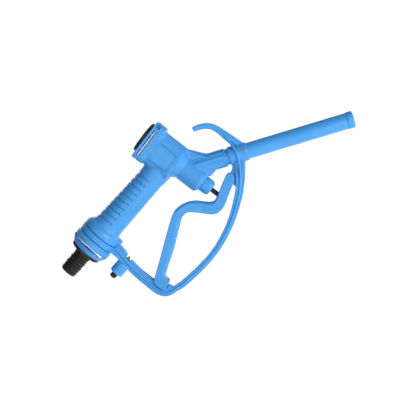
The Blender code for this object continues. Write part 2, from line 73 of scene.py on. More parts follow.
class Axis:
    """A line in the side plane that turned shapes are made around."""

    def __init__(self, x, z, slope_down, s0=0.0):
        self.along = Vector((math.cos(slope_down), 0.0, -math.sin(slope_down)))
        self.up = Vector((math.sin(slope_down), 0.0, math.cos(slope_down)))
        self.start = side(x, z) - self.along * s0 * MM

    def at(self, s, up=0.0, y=0.0):
        """The row-frame point at s along the axis, offset up from it and across."""
        return self.start + (self.along * s + self.up * up + Vector((0.0, y, 0.0))) * MM


GRIP = Axis(0.0, 0.0, GRIP_SLOPE)
SPOUT = Axis(VALVE_X, -37.0, SPOUT_SLOPE)
LATCH = Axis(41.0, -46.8, GRIP_SLOPE, s0=41.0)
VALVE = Axis(VALVE_X, 0.0, math.radians(-90.0))


# ---------------------------------------------------------------- mesh makers
def as_object(bm):
    """Turn a bmesh into a linked object, with its faces pointing out."""
    bmesh.ops.remove_doubles(bm, verts=bm.verts, dist=1e-7)
    bmesh.ops.recalc_face_normals(bm, faces=bm.faces)
    mesh = bpy.data.meshes.new("shape")
    bm.to_mesh(mesh)
    bm.free()
    obj = bpy.data.objects.new("shape", mesh)
    bpy.context.scene.collection.objects.link(obj)
    return obj


def filleted(profile, closed, arc_steps=4):
    """Round the corners of a profile whose points may carry a fillet radius."""
    out = []
    n = len(profile)
    for i, point in enumerate(profile):
        r = point[2] if len(point) > 2 else 0.0
        here = Vector(point[:2])
        if r <= 0 or (not closed and i in (0, n - 1)):
            out.append(tuple(here))
            continue
        a = Vector(profile[i - 1][:2]) - here
        b = Vector(profile[(i + 1) % n][:2]) - here
        la, lb = a.length, b.length
        a.normalize()
        b.normalize()
        half = a.angle(b) / 2.0
        if half < 0.02 or half > math.pi / 2 - 0.02:
            out.append(tuple(here))
            continue
        cut_back = min(r / math.tan(half), 0.48 * la, 0.48 * lb)
        r = cut_back * math.tan(half)
        centre = here + (a + b).normalized() * (r / math.sin(half))
        start, end = here + a * cut_back - centre, here + b * cut_back - centre
        for k in range(arc_steps + 1):
            t = k / arc_steps
            arm = start * (1 - t) + end * t
            out.append(tuple(centre + arm.normalized() * r))
    return out


def turned(axis, profile, steps=96):
    """Spin an (along, radius, fillet) profile; one that starts off the axis is a closed ring."""
    closed = profile[0][1] > 1e-6
    points = filleted(profile, closed)
    bm = bmesh.new()
    rings = []
    for s, r in points:
        if r < 1e-6:
            rings.append([bm.verts.new(axis.at(s))])
            continue
        rings.append([bm.verts.new(axis.at(s, r * math.cos(a), r * math.sin(a)))
                      for a in (2.0 * math.pi * i / steps for i in range(steps))])
    for k in range(len(rings) if closed else len(rings) - 1):
        a, b = rings[k], rings[(k + 1) % len(rings)]
        for i in range(steps):
            j = (i + 1) % steps
            corners = []
            for v in (a[i % len(a)], a[j % len(a)], b[j % len(b)], b[i % len(b)]):
                if v not in corners:
                    corners.append(v)
            bm.faces.new(corners)
    return as_object(bm)


def rod(axis, s0, s1, r, steps=64):
    """A plain cylinder between two places on an axis."""
    return turned(axis, [(s0, 0), (s0, r), (s1, r), (s1, 0)], steps)


def prism(outline, y0, y1):
    """Extrude a side-view outline, which may be concave, between two widths."""
    bm = bmesh.new()
    near = [bm.verts.new(side(x, z, y0)) for x, z in outline]
    far = [bm.verts.new(side(x, z, y1)) for x, z in outline]
    bm.faces.new(near)
    bm.faces.new(list(reversed(far)))
    for i in range(len(outline)):
        j = (i + 1) % len(outline)
        bm.faces.new([near[j], near[i], far[i], far[j]])
    bm.normal_update()
    bmesh.ops.triangulate(bm, faces=bm.faces, ngon_method="EAR_CLIP")
    return as_object(bm)


def loft(layers):
    """Skin a solid through side-view outlines with matching points, given as (y, outline)."""
    bm = bmesh.new()
    rings = [[bm.verts.new(side(x, z, y)) for x, z in outline] for y, outline in layers]
    for a, b in zip(rings, rings[1:]):
        for i in range(len(a)):
            j = (i + 1) % len(a)
            bm.faces.new([a[j], a[i], b[i], b[j]])
    bm.faces.new(rings[0])
    bm.faces.new(list(reversed(rings[-1])))
    bm.normal_update()
    bmesh.ops.triangulate(bm, faces=bm.faces, ngon_method="EAR_CLIP")
    return as_object(bm)


def box(axis, s, up, y):
    """A box given as (start, end) along an axis, up from it and across."""
    bm = bmesh.new()
    corner = [bm.verts.new(axis.at(a, b, c)) for a in s for b in up for c in y]
    for face in ((0, 1, 3, 2), (4, 6, 7, 5), (0, 4, 5, 1), (2, 3, 7, 6), (0, 2, 6, 4), (1, 5, 7, 3)):
        bm.faces.new([corner[i] for i in face])
    return as_object(bm)


def upright(z0, z1, plan):
    """A solid with a plan outline in (x, y) layout millimetres, between two heights."""
    bm = bmesh.new()
    low = [bm.verts.new(side(x, z0, y)) for x, y in plan]
    high = [bm.verts.new(side(x, z1, y)) for x, y in plan]
    bm.faces.new(list(reversed(low)))
    bm.faces.new(high)
    for i in range(len(plan)):
        j = (i + 1) % len(plan)
        bm.faces.new([low[i], low[j], high[j], high[i]])
    return as_object(bm)


def superellipse(cx, half_x, half_y, power, steps=72):
    """Plan outline between an ellipse (power 2) and a rectangle (high power)."""
    plan = []
    for i in range(steps):
        a = 2.0 * math.pi * i / steps
        c, s = math.cos(a), math.sin(a)
        plan.append((cx + half_x * math.copysign(abs(c) ** (2.0 / power), c),
                     half_y * math.copysign(abs(s) ** (2.0 / power), s)))
    return plan


def capsule(x0, x1, z0, z1, corner=None, steps=8):
    """Side-view outline of a slot or panel with rounded corners."""
    corner = corner or (z1 - z0) / 2.0 - 0.01
    out = []
    for cx, cz, start in ((x1 - corner, z1 - corner, 0), (x0 + corner, z1 - corner, 90),
                          (x0 + corner, z0 + corner, 180), (x1 - corner, z0 + corner, 270)):
        for i in range(steps + 1):
            a = math.radians(start + 90.0 * i / steps)
            out.append((cx + corner * math.cos(a), cz + corner * math.sin(a)))
    return out


def disc(x, z, r, steps=32):
    """Side-view outline of a circle."""
    return [(x + r * math.cos(2.0 * math.pi * i / steps), z + r * math.sin(2.0 * math.pi * i / steps))
            for i in range(steps)]


def wire(points, r, steps=12, dome=True):
    """A round wire through row-frame points; r may be a list. The ends can be domed."""
    radii = r if isinstance(r, list) else [r] * len(points)
    if dome:
        first, last = (points[0] - points[1]).normalized(), (points[-1] - points[-2]).normalized()
        caps = ((0.5, 0.87), (0.87, 0.5))
        points = ([points[0] + first * radii[0] * MM * f for f, _ in reversed(caps)] + points
                  + [points[-1] + last * radii[-1] * MM * f for f, _ in caps])
        radii = ([radii[0] * g for _, g in reversed(caps)] + radii + [radii[-1] * g for _, g in caps])
    bm = bmesh.new()
    rings = []
    side_dir = None
    for i, p in enumerate(points):
        before = (p - points[i - 1]).normalized() if i else (points[1] - p).normalized()
        after = (points[i + 1] - p).normalized() if i + 1 < len(points) else before
        along = (before + after).normalized()
        if side_dir is None:
            side_dir = along.orthogonal().normalized()
        side_dir = (side_dir - along * side_dir.dot(along)).normalized()
        up_dir = along.cross(side_dir)
        rings.append([bm.verts.new(p + (side_dir * math.cos(a) + up_dir * math.sin(a)) * radii[i] * MM)
                      for a in (2.0 * math.pi * k / steps for k in range(steps))])
    for a, b in zip(rings, rings[1:]):
        for k in range(steps):
            bm.faces.new([a[k], a[(k + 1) % steps], b[(k + 1) % steps], b[k]])
    bm.faces.new(list(reversed(rings[0])))
    bm.faces.new(rings[-1])
    return as_object(bm)


def coil(axis, s0, s1, mid_r, wire_r, turns, per_turn=36, steps=10):
    """A coil spring that fills the space between two places on an axis."""
    count = int(turns * per_turn)
    points = []
    for i in range(count + 1):
        a = 2.0 * math.pi * i / per_turn
        s = s0 + wire_r + (s1 - s0 - 2.0 * wire_r) * i / count
        points.append(axis.at(s, mid_r * math.cos(a), mid_r * math.sin(a)))
    return wire(points, wire_r, steps, dome=False)


def between(four, t):
    """Catmull-Rom point at t between the second and third of four points."""
    return tuple(
        0.5 * (2 * b + (c - a) * t + (2 * a - 5 * b + 4 * c - d) * t * t
               + (3 * b - a - 3 * c + d) * t ** 3)
        for a, b, c, d in zip(*four))


def smooth(points, steps=6):
    """A smooth line through points of any dimension."""
    out = []
    for i in range(len(points) - 1):
        four = [points[max(i - 1, 0)], points[i], points[i + 1], points[min(i + 2, len(points) - 1)]]
        out += [between(four, k / steps) for k in range(steps)]
    out.append(points[-1])
    return out


def smooth_loop(points, steps=4):
    """A smooth closed outline through points."""
    out = []
    for i in range(len(points)):
        four = [points[(i + k - 1) % len(points)] for k in range(4)]
        out += [between(four, k / steps) for k in range(steps)]
    return out


def ribbon(line, left, right):
    """Outline of a strap that follows a side-view line, with edge offsets on its two sides."""
    edge_a, edge_b = [], []
    for i, (x, z) in enumerate(line):
        ax, az = line[max(i - 1, 0)]
        bx, bz = line[min(i + 1, len(line) - 1)]
        length = math.hypot(bx - ax, bz - az)
        nx, nz = -(bz - az) / length, (bx - ax) / length
        edge_a.append((x + nx * left[i], z + nz * left[i]))
        edge_b.append((x - nx * right[i], z - nz * right[i]))
    return edge_a + edge_b[::-1]


def merge(objects, name):
    """All objects' meshes in one object; overlaps are left for the remesh to fuse."""
    bm = bmesh.new()
    for o in objects:
        bm.from_mesh(o.data)
        bpy.data.objects.remove(o)
    mesh = bpy.data.meshes.new(name)
    bm.to_mesh(mesh)
    bm.free()
    obj = bpy.data.objects.new(name, mesh)
    bpy.context.scene.collection.objects.link(obj)
    return obj


def apply_modifiers(obj):
    """Bake an object's modifiers into its mesh."""
    bpy.context.view_layer.update()
    made = bpy.data.meshes.new_from_object(
        obj.evaluated_get(bpy.context.evaluated_depsgraph_get()))
    obj.modifiers.clear()
    obj.data = made
    return obj


def moulded(objects, name, voxel, rounds):
    """Fuse overlapping closed shapes and melt their edges into moulding fillets."""
    obj = merge(objects, name)
    remesh = obj.modifiers.new("fuse", "REMESH")
    remesh.mode = "VOXEL"
    remesh.voxel_size = voxel * MM
    soften = obj.modifiers.new("soften", "SMOOTH")
    soften.factor = 0.5
    soften.iterations = rounds
    return apply_modifiers(obj)


def carve(obj, *tools, solver="MANIFOLD"):
    """Cut each tool out of an object in turn, and delete the tool."""
    for tool in tools:
        mod = obj.modifiers.new("carve", "BOOLEAN")
        mod.operation = "DIFFERENCE"
        mod.solver = solver
        mod.object = tool
        apply_modifiers(obj)
        bpy.data.objects.remove(tool)
        if len(obj.data.vertices) == 0:
            raise RuntimeError(f"carving left nothing of {obj.name}")
    return obj


# ---------------------------------------------------------------- materials
def new_material(name):
    mat = bpy.data.materials.new(name)
    mat.use_nodes = True
    return mat, mat.node_tree.nodes, mat.node_tree.links, mat.node_tree.nodes["Principled BSDF"]


def grained(name, dark, light, rough, bump, grain_scale, metallic=0.0, mottle_scale=18.0,
            scuff=0.0, specular=0.5):
    """Moulded or drawn material: slow colour drift, fine grain in roughness and bump, and
    faint scuffs along the exposed edges."""
    mat, nodes, links, shader = new_material(name)
    where = nodes.new("ShaderNodeTexCoord")

    mottle = nodes.new("ShaderNodeTexNoise")
    mottle.inputs["Scale"].default_value = mottle_scale
    mottle.inputs["Detail"].default_value = 5.0
    links.new(where.outputs["Object"], mottle.inputs["Vector"])
    ramp = nodes.new("ShaderNodeValToRGB")
    ramp.color_ramp.elements[0].position = 0.3
    ramp.color_ramp.elements[0].color = (*dark, 1.0)
    ramp.color_ramp.elements[1].position = 0.7
    ramp.color_ramp.elements[1].color = (*light, 1.0)
    links.new(mottle.outputs["Fac"], ramp.inputs["Fac"])
    colour = ramp.outputs["Color"]

    grain = nodes.new("ShaderNodeTexNoise")
    grain.inputs["Scale"].default_value = grain_scale
    grain.inputs["Detail"].default_value = 3.0
    grain.inputs["Roughness"].default_value = 0.6
    links.new(where.outputs["Object"], grain.inputs["Vector"])

    # scuffs: a lighter tint where the surface is sharply convex, broken up into patches
    if scuff > 0.0:
        geometry = nodes.new("ShaderNodeNewGeometry")
        edge = nodes.new("ShaderNodeMapRange")
        edge.inputs["From Min"].default_value = 0.53
        edge.inputs["From Max"].default_value = 0.66
        links.new(geometry.outputs["Pointiness"], edge.inputs["Value"])
        patchy = nodes.new("ShaderNodeTexNoise")
        patchy.inputs["Scale"].default_value = 130.0
        patchy.inputs["Detail"].default_value = 6.0
        links.new(where.outputs["Object"], patchy.inputs["Vector"])
        patch_map = nodes.new("ShaderNodeMapRange")
        patch_map.inputs["From Min"].default_value = 0.42
        patch_map.inputs["From Max"].default_value = 0.68
        links.new(patchy.outputs["Fac"], patch_map.inputs["Value"])
        worn = nodes.new("ShaderNodeMath")
        worn.operation = "MULTIPLY"
        links.new(edge.outputs["Result"], worn.inputs[0])
        links.new(patch_map.outputs["Result"], worn.inputs[1])
        amount = nodes.new("ShaderNodeMath")
        amount.operation = "MULTIPLY"
        amount.inputs[1].default_value = scuff
        links.new(worn.outputs["Value"], amount.inputs[0])
        mix = nodes.new("ShaderNodeMix")
        mix.data_type = "RGBA"
        links.new(amount.outputs["Value"], mix.inputs["Factor"])
        links.new(colour, mix.inputs["A"])
        mix.inputs["B"].default_value = (*[min(1.0, c * 1.6 + 0.04) for c in light], 1.0)
        colour = mix.outputs["Result"]
    links.new(colour, shader.inputs["Base Color"])

    rough_map = nodes.new("ShaderNodeMapRange")
    rough_map.inputs["From Min"].default_value = 0.3
    rough_map.inputs["From Max"].default_value = 0.7
    rough_map.inputs["To Min"].default_value = rough - 0.06
    rough_map.inputs["To Max"].default_value = rough + 0.06
    links.new(grain.outputs["Fac"], rough_map.inputs["Value"])
    links.new(rough_map.outputs["Result"], shader.inputs["Roughness"])

    relief = nodes.new("ShaderNodeBump")
    relief.inputs["Strength"].default_value = bump
    relief.inputs["Distance"].default_value = 0.0002
    links.new(grain.outputs["Fac"], relief.inputs["Height"])
    links.new(relief.outputs["Normal"], shader.inputs["Normal"])

    shader.inputs["Metallic"].default_value = metallic
    shader.inputs["Specular IOR Level"].default_value = specular
    return mat


BLUE = grained("blue_moulding", (0.035, 0.262, 0.64), (0.050, 0.305, 0.71), 0.42, 0.16, 2600.0,
               scuff=0.22)
BLUE_DEEP = grained("blue_moulding_guard", (0.034, 0.258, 0.63), (0.048, 0.300, 0.70), 0.44, 0.17,
                    2400.0, scuff=0.08)
BLACK = grained("black_moulding", (0.006, 0.006, 0.006), (0.013, 0.012, 0.013), 0.44, 0.22, 2200.0,
                scuff=0.10, specular=0.32)
DARK_STEEL = grained("dark_steel", (0.20, 0.17, 0.13), (0.34, 0.29, 0.22), 0.35, 0.12, 1500.0,
                     metallic=0.9, mottle_scale=120.0)
RUBBER = grained("seal_rubber", (0.008, 0.008, 0.008), (0.015, 0.015, 0.015), 0.6, 0.2, 1800.0)
STEEL = grained("stainless", (0.84, 0.84, 0.82), (0.97, 0.97, 0.95), 0.30, 0.12, 1500.0,
                metallic=0.75, mottle_scale=120.0)
NATURAL = grained("natural_plastic", (0.72, 0.72, 0.68), (0.80, 0.80, 0.77), 0.45, 0.2, 1800.0)


MOULDED_SHARP = 65.0           # degrees; only steeper edges stay crisp on the guard and the collar


def place(obj, name, material, body, slot, *nodes, sharp=38.0):
    """Name, shade, ride and hand over from the CAD nodes it stands for."""
    obj.name = name
    obj.data.name = name
    bm = bmesh.new()
    bm.from_mesh(obj.data)
    bmesh.ops.remove_doubles(bm, verts=bm.verts, dist=1e-7)
    bmesh.ops.dissolve_degenerate(bm, edges=bm.edges, dist=1e-7)
    bm.to_mesh(obj.data)
    bm.free()
    obj.data.materials.clear()
    obj.data.materials.append(material)
    for poly in obj.data.polygons:
        poly.use_smooth = True
        poly.material_index = 0
    obj.data.set_sharp_from_angle(angle=math.radians(sharp))
    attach(obj, body)
    if nodes:
        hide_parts(*nodes)
    return obj


def keep_node(node, material):
    """A CAD node whose shape is right stays, with a better material."""
    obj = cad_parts[node]
    for slot in obj.material_slots:
        slot.material = material


# ---------------------------------------------------------------- valve body
def both_sides(near, far):
    """The same band of widths on each side of the middle plane, low before high."""
    for sign in (-1.0, 1.0):
        yield tuple(sorted((sign * near, sign * far)))


def finger_groove(s0):
    """A half ring over the grip's upper half that drifts forward and thins at both ends."""
    points, radii = [], []
    for i in range(33):
        a = math.radians(-5.0 + 190.0 * i / 32)
        drift = 1.8 * (1.0 - math.sin(max(0.0, min(math.pi, a)))) ** 1.5
        r = grip_radius(s0) + 0.05
        points.append(GRIP.at(s0 + drift, r * math.sin(a), -r * math.cos(a)))
        end = min(i, 32 - i)
        radii.append(1.05 if end <= 2 else 1.25)
    return wire(points, radii, 10)


def grip_radius(s):
    """The grip's radius at a place along its taper."""
    (s0, r0), (s1, r1) = GRIP_REAR, GRIP_FRONT
    return r0 + (r1 - r0) * (s - s0) / (s1 - s0)


def chamber_block(half_x, half_y):
    """The valve chamber's rounded block, at a given size."""
    return upright(-25.0, 12.0, superellipse(182.25, half_x, half_y, 3.2))


def panel_block(inset, corner, near, far):
    """The label panel's rounded outline, drawn in by an inset, between two widths."""
    return prism(capsule(168.0 + inset, 192.2 - inset, -20.2 + inset, 6.8 - inset, corner), near, far)


def make_valve_body():
    grip = turned(GRIP, [
        (46.0, 0), (46.0, STUB_R), (60.9, STUB_R), (60.9, RING_R, 0.9), (66.0, 23.7, 3.0),
        (69.0, 22.0, 3.0), (72.2, 18.4, 4.0), (*GRIP_REAR, 4.0), (*GRIP_FRONT, 6.0),
        (160.0, 16.7), (180.0, 17.0), (180.0, 0)], 120)
    chamber = chamber_block(22.9, 19.9)
    collar = upright(9.0, 23.0, superellipse(183.75, 24.95, 19.8, 7.5))
    chamfer = upright(6.0, 10.5, superellipse(182.8, 22.8, 19.2, 3.8))
    neck = turned(VALVE, [(-63.2, 0), (-63.2, 10.6), (-59.4, 14.8), (-33.0, 14.8),
                          (-25.0, 20.0), (-23.0, 20.0), (-23.0, 0)], 96)
    socket = turned(SPOUT, [(6.0, 0), (6.0, 10.6), (46.6, 10.3), (46.8, 10.9), (49.5, 10.9),
                            (49.5, 0)], 96)
    ribs = []
    for a in range(0, 360, 30):
        c, s = math.cos(math.radians(a + 15)), math.sin(math.radians(a + 15))
        ribs.append(wire([SPOUT.at(t, 10.55 * c, 10.55 * s) for t in (12, 46)], 0.75, 8))
    gusset = prism([(190, -24), (204.6, -24), (208, -31), (211, -38), (215, -46), (224, -53),
                    (205, -50), (190, -40)], -3.4, 3.4)
    gusset_root = prism([(190, -22), (203.5, -22), (206.0, -30), (208.5, -38), (212, -46.5), (216, -50),
                         (205, -54), (190, -44)], -7.5, 7.5)
    web = prism([(186, -48), (204, -50), (212, -58), (208.8, -64.6), (206.0, -65.6),
                 (197.0, -65.3), (195.2, -63.0), (190, -59)], -7.4, 7.4)
    tab = prism([(65.3, -20.0), (70.0, -20.0), (69.6, -28.0), (69.2, -30.4), (65.3, -30.6)],
                -6.0, 6.0)
    body = moulded([grip, chamber, collar, chamfer, neck, socket, gusset, gusset_root, web, tab]
                   + ribs, "valve_body_shell", 0.62, 7)

    carve(body, rod(GRIP, 40.0, 61.5, SWIVEL_BORE_R), rod(GRIP, 61.0, 184.0, 9.0),
          rod(VALVE, -23.5, 24.0, 15.9), rod(VALVE, -32.0, -22.0, 8.0),
          rod(VALVE, -50.0, -31.0, 10.0), rod(VALVE, -54.0, -49.0, 3.15, 32),
          rod(VALVE, -65.0, -53.0, 6.5, 48), rod(SPOUT, 0.0, 51.0, 8.5))
    # the bonnet clip's passages, side slots and rear recess
    for near, far in both_sides(14.0, 17.2):
        carve(body, box(VALVE, (16.1, 19.3), (-23.5, 26.0), (near, far)))
    for near, far in both_sides(13.9, 24.0):
        carve(body, prism(capsule(164.0, 201.0, 15.8, 19.7), near, far))
    carve(body, box(VALVE, (15.5, 20.0), (20.0, 27.0), (-13.4, 13.4)), bonnet_clip_wire(1.6))
    # square sockets beside the slots
    for near, far in both_sides(13.5, 24.0):
        carve(body, prism(capsule(203.0, 207.4, 15.2, 20.2, 0.5), near, far))
    for near, far in both_sides(17.3, 24.0):
        carve(body, prism(capsule(157.0, 162.0, 15.4, 19.8, 0.5), near, far))
    # the recessed label panel, and a deeper line round its edge
    for near, far in both_sides(12.0, 24.0):
        panel = panel_block(0.0, 3.0, near, far)
        carve(panel, chamber_block(22.35, 19.45))
        carve(body, panel)
        outline = panel_block(0.0, 3.0, near, far)
        carve(outline, panel_block(0.8, 2.4, near - 2, far + 2), chamber_block(22.0, 19.1))
        carve(body, outline)
    for k in range(10):
        carve(body, finger_groove(79.5 + 7.45 * k))
    return place(body, "valve_body_shell", BLUE, "nozzle", "blue_plastic", "valve_body")


# ---------------------------------------------------------------- bonnet, stem, gland
def bonnet_clip_wire(r):
    """The bonnet's hairpin clip, or with a larger radius the passage it lies in."""
    leg, z = 15.6, 17.7
    half = [(202.2, -leg), (180.0, -leg), (163.2, -leg)]
    bend = [(162.3 - 1.4 * math.sin(math.radians(a)), -leg + 1.4 * (1 - math.cos(math.radians(a))))
            for a in range(0, 91, 15)]
    line = half + bend + [(160.9, 0.0)] + [(x, -y) for x, y in reversed(half + bend)]
    return wire([side(x, z, y) for x, y in line], r, 14)


def make_bonnet():
    cap = turned(VALVE, [
        (BONNET_TOP_Z, 0), (BONNET_TOP_Z, 19.25, 1.6), (23.3, 19.25, 0.3), (23.3, 15.6),
        (19.4, 15.6), (19.4, 14.0), (16.0, 14.0), (16.0, 15.6), (12.6, 15.6), (12.6, 13.3),
        (9.8, 13.3), (9.8, 15.6), (6.5, 15.6), (6.5, 9.5), (20.0, 9.5), (20.0, 0)], 96)
    place(cap, "bonnet_cap_moulding", BLACK, "nozzle", "black_plastic", "bonnet_cap")
    place(bonnet_clip_wire(1.3), "bonnet_clip_loop", STEEL, "nozzle", "stainless", "bonnet_clip")
    gland = turned(VALVE, [(-61.0, 3.15), (-61.0, 6.2), (-63.4, 6.2), (-63.4, 9.7, 0.3),
                           (-71.5, 9.6, 2.5), (-75.3, 7.9, 1.6), (-75.3, 3.15, 0.3)], 72)
    place(gland, "gland_nut_moulding", BLUE, "nozzle", "blue_plastic", "gland_nut")
    stem = turned(VALVE, [(-11.3, 0), (-11.3, 2.85, 0.6), (-91.6, 2.85, 0.5), (-92.6, 1.9, 0.5),
                          (-93.0, 0)], 40)
    place(stem, "valve_stem_rod", BLACK, "stem", "black_plastic", "valve_stem")


# ---------------------------------------------------------------- hose end
def slot_rim(s, low, high, r):
    """Outline of a round-ended slot, as (s, up) along the grip's axis."""
    rim = []
    for up, start in ((high, 0), (low, 180)):
        rim += [(s + r * math.cos(a), up + r * math.sin(a))
                for a in (math.radians(start + 15.0 * k) for k in range(13))]
    return rim


def along_grip(rim, y0, y1):
    """Extrude an (s, up) outline across the grip."""
    bm = bmesh.new()
    low = [bm.verts.new(GRIP.at(s, up, y0)) for s, up in rim]
    high = [bm.verts.new(GRIP.at(s, up, y1)) for s, up in rim]
    bm.faces.new(low)
    bm.faces.new(list(reversed(high)))
    for i in range(len(rim)):
        j = (i + 1) % len(rim)
        bm.faces.new([low[j], low[i], high[i], high[j]])
    return as_object(bm)


def make_hose_end():
    collar = turned(GRIP, [
        (35.3, SWIVEL_BORE_R), (35.3, 19.9, 0.5), (37.4, 21.8, 1.6), (42.0, 24.5, 2.6),
        (48.8, 24.5, 0.9), (50.0, 23.3, 0.5), (52.1, 23.2, 0.5), (52.1, STUB_R + GAP),
        (45.7, STUB_R + GAP), (45.7, SWIVEL_BORE_R)], 160)
    # the inlet clip: two straight legs joined over the top, with rounded corners
    leg, bend = 18.4, 9.4
    half = [(-17.6, -leg), (-8.0, -leg), (0.0, -leg)]
    half += [(leg - bend + bend * math.sin(a), bend - leg - bend * math.cos(a))
             for a in (math.radians(7.5 * i) for i in range(13))]
    line = half + [(up, -y) for up, y in reversed(half)]
    carve(collar, wire([GRIP.at(CLIP_S, up, y) for up, y in line], 1.6, 16), solver="EXACT")
    for near, far in both_sides(17.0, 27.0):
        carve(collar, along_grip(slot_rim(CLIP_S + 0.1, -17.4, 16.9, 1.95), near, far), solver="EXACT")
    carve(collar, box(GRIP, (CLIP_S - 1.5, CLIP_S + 1.5), (15.0, 26.0), (-12.5, 12.5)),
          solver="EXACT")
    for near, far in both_sides(24.0, 26.0):
        carve(collar, along_grip(slot_rim(48.0, 2.4, 3.6, 0.8), near, far), solver="EXACT")
    place(collar, "inlet_collar_moulding", BLUE, "nozzle", "blue_plastic", "inlet_collar",
          sharp=MOULDED_SHARP)
    place(wire([GRIP.at(CLIP_S, up, y) for up, y in line], 1.3, 14), "inlet_clip_wire", STEEL,
          "nozzle", "stainless", "inlet_clip")

    barbs = [(0.0, 9.5, 0.4)]
    crests = [4.0, 8.0, 12.0, 15.8, 19.5, 23.3, 27.0]
    start = 0.2
    for end in crests:
        major = end in (12.0, 19.5, 27.0)
        top = 10.65 if major else 10.15
        barbs += [(start + 0.2, 9.45), (end - 0.9, top, 0.3), (end - 0.1, top, 0.15)]
        start = end
    tail = turned(GRIP, [(0.0, 7.0, 0.5)] + barbs + [
        (27.1, 9.3, 0.2), (31.4, 9.3, 0.8), (31.4, 18.6, 0.5), (32.4, 19.5, 0.7), (35.0, 19.5, 0.3),
        (35.0, SPIGOT_R), (41.9, SPIGOT_R), (41.9, 16.8), (45.1, 16.8), (45.1, SPIGOT_R),
        (46.0, SPIGOT_R), (46.0, 16.1), (48.8, 16.1), (48.8, SPIGOT_R), (52.0, SPIGOT_R),
        (52.0, 16.1), (54.8, 16.1), (54.8, SPIGOT_R), (60.6, SPIGOT_R), (60.6, 7.0)], 128)
    place(tail, "hose_tail_barb", BLACK, "swivel", "black_plastic", "hose_tail")


# ---------------------------------------------------------------- spout
def make_spout():
    tube = turned(SPOUT, [
        (24.0, 6.6), (24.0, 8.2), (30.0, 8.2), (30.0, 7.3), (32.0, 7.3), (32.0, 8.2),
        (49.8, 8.2), (49.8, 9.5), (196.5, 9.5, 0.2), (196.5, 8.5), (202.6, 8.5), (202.6, 7.5),
        (52.0, 7.5), (49.0, 6.6)], 96)
    place(tube, "spout_tube_moulding", BLUE, "nozzle", "blue_plastic", "spout_tube")
    tip = turned(SPOUT, [
        (196.8, 8.8), (196.8, 9.75, 0.25), (198.0, 10.0, 0.6), (204.6, 10.0, 1.2),
        (204.6, 7.2, 0.5), (202.9, 7.2), (202.9, 8.8)], 96)
    place(tip, "spout_tip_ring", BLUE, "nozzle", "blue_plastic", "spout_tip")


# ---------------------------------------------------------------- guard
GUARD_PATH = [
    (57.6, -24.0, 7.2), (57.4, -31.0, 6.9), (56.8, -37.0, 6.5), (55.2, -44.0, 5.7),
    (53.7, -51.0, 5.3), (51.9, -60.0, 5.6), (50.9, -70.0, 5.6), (50.6, -80.0, 5.8),
    (50.6, -92.0, 6.0), (51.0, -101.0, 5.9), (53.4, -108.2, 4.9), (58.4, -112.4, 4.0),
    (65.0, -115.0, 3.6), (75.0, -118.4, 3.8), (100.0, -122.5, 3.8), (125.0, -124.2, 3.7),
    (150.0, -121.6, 3.9), (175.0, -115.0, 4.2), (200.0, -104.3, 4.8), (209.0, -98.8, 5.1),
    (217.0, -93.4, 5.6), (225.0, -86.6, 6.2), (232.0, -81.0, 6.6), (239.0, -77.0, 6.6)]
HOOK_LINE = [
    (244.4, -74.0, 6.4), (245.1, -66.0, 5.6), (245.1, -56.0, 4.9), (245.0, -45.0, 4.2),
    (244.6, -37.0, 3.7), (243.2, -30.5, 3.5), (239.7, -24.4, 3.4), (234.4, -19.4, 3.3),
    (230.0, -16.5, 3.2), (226.8, -14.9, 2.9)]
# a bead along each flank, from the strap over the sleeve into the hook, as (x, z, y)
BRACE = [(212.0, -97.0, 4.6), (219.0, -91.6, 5.6), (226.0, -85.4, 8.2), (232.0, -79.0, 10.6),
         (236.6, -72.0, 11.1), (239.6, -65.5, 9.4), (241.6, -59.0, 6.0), (242.2, -50.0, 4.0)]
EAR = [(203.6, -84.5), (204.8, -81.3), (208.0, -80.0), (213.0, -80.6), (218.0, -80.0),
       (223.0, -77.0), (232.0, -76.0), (236.0, -84.0), (224.0, -92.0), (214.0, -96.8),
       (206.4, -100.0), (204.8, -94.0), (204.8, -87.7)]


def strap(path, half_y, ridge_y, rail_y, first=0, last=None, steps=6):
    """A moulded strap: a web with a rail along each edge and a proud ridge down its middle.

    The path's points are (x, z, half width)."""
    fine = smooth(path, steps)
    line = [(x, z) for x, z, _ in fine]
    half = [w for _, _, w in fine]
    part = slice(first, last)
    ridge = [1.15] * len(line[part])
    shapes = [prism(ribbon(line, half, half), -half_y, half_y),
              prism(ribbon(line[part], ridge, ridge), -ridge_y, ridge_y)]
    for sign in (1.0, -1.0):
        outer = [max(0.6, w - 0.05) * sign for w in half[part]]
        inner = [-(max(0.6, w - 1.7)) * sign for w in half[part]]
        shapes.append(prism(ribbon(line[part], outer, inner), -rail_y, rail_y))
    return shapes


